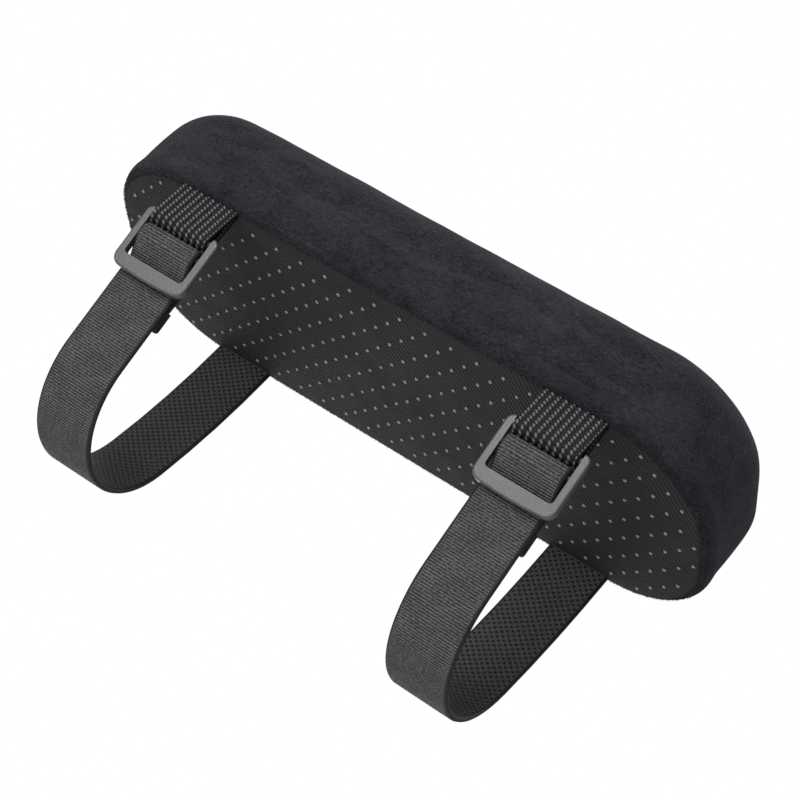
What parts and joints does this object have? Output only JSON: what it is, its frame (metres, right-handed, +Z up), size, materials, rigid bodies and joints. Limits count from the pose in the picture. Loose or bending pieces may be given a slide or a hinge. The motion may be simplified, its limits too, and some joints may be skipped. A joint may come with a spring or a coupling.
{
  "type": "chair armrest pad",
  "caption": "Memory-foam armrest pad in a plush cover with a dotted anti-slip underside and two elastic straps closed by tri-glide buckles.",
  "frame": {"origin": "centre of the underside panel's lower face, which rests on the armrest", "axes": "+X along the pad, +Y towards the seam that the straps are sewn into, -Y towards the tabs and buckles, +Z up through the padded top"},
  "size_m": [0.27, 0.1074, 0.1394],
  "materials": {
    "plush": "matte",
    "foam": "matte",
    "knit": "matte",
    "thread": "matte",
    "plastic": "satin",
    "elastic": "matte",
    "webbing": "matte",
    "zip_tape": "matte",
    "zip_teeth": "satin",
    "zip_metal": "satin"
  },
  "bodies": {
    "pad": {"bottom_seam_thread": "thread", "foam_core": "foam", "front_bartacks": "thread", "front_strap_loop": "elastic", "front_tab_anchor": "webbing", "plush_cover": "plush", "rear_bartacks": "thread", "rear_strap_loop": "elastic", "rear_tab_anchor": "webbing", "underside_panel": "knit", "zip_lower_tape": "zip_tape", "zip_lower_teeth": "zip_teeth", "zip_stops": "zip_teeth", "zip_upper_tape": "zip_tape", "zip_upper_teeth": "zip_teeth"},
    "zip_slider": {"zip_slider": "zip_metal"},
    "zip_pull": {"zip_pull": "zip_metal"},
    "front_tab": {"front_tab": "webbing"},
    "front_buckle": {"front_buckle": "plastic", "front_strap_lead": "elastic"},
    "front_tail": {"front_strap_tail": "elastic", "front_tail_stitching": "thread"},
    "rear_tab": {"rear_tab": "webbing"},
    "rear_buckle": {"rear_buckle": "plastic", "rear_strap_lead": "elastic"},
    "rear_tail": {"rear_strap_tail": "elastic", "rear_tail_stitching": "thread"}
  },
  "joints": [
    {"name": "front_tab_swing", "type": "hinge", "parent": "pad", "child": "front_tab", "pos_m": [0.082, -0.04845, -0.0005], "axis": [1, 0, 0], "range_deg": [-25, 20], "stiffness_Nm_per_rad": 0.05},
    {"name": "front_buckle_tilt", "type": "hinge", "parent": "front_tab", "child": "front_buckle", "pos_m": [0.082, -0.04765, -0.0155], "axis": [1, 0, 0], "range_deg": [-15, 15], "stiffness_Nm_per_rad": 0.03},
    {"name": "front_strap_adjust", "type": "slide", "parent": "front_buckle", "child": "front_tail", "axis": [0, 0.2924, -0.9563], "range_m": [0, 0.016]},
    {"name": "rear_tab_swing", "type": "hinge", "parent": "pad", "child": "rear_tab", "pos_m": [-0.082, -0.04845, -0.0005], "axis": [1, 0, 0], "range_deg": [-25, 20], "stiffness_Nm_per_rad": 0.05},
    {"name": "rear_buckle_tilt", "type": "hinge", "parent": "rear_tab", "child": "rear_buckle", "pos_m": [-0.082, -0.04765, -0.0155], "axis": [1, 0, 0], "range_deg": [-15, 15], "stiffness_Nm_per_rad": 0.03},
    {"name": "rear_strap_adjust", "type": "slide", "parent": "rear_buckle", "child": "rear_tail", "axis": [0, 0.2924, -0.9563], "range_m": [0, 0.016]},
    {"name": "zip_slide", "type": "slide", "parent": "pad", "child": "zip_slider", "axis": [1, 0, 0], "range_m": [-0.146, 0]},
    {"name": "zip_pull_flip", "type": "hinge", "parent": "zip_slider", "child": "zip_pull", "pos_m": [0.073, 0.0536, 0.013], "axis": [0, 0, -1], "range_deg": [0, 160]}
  ]
}
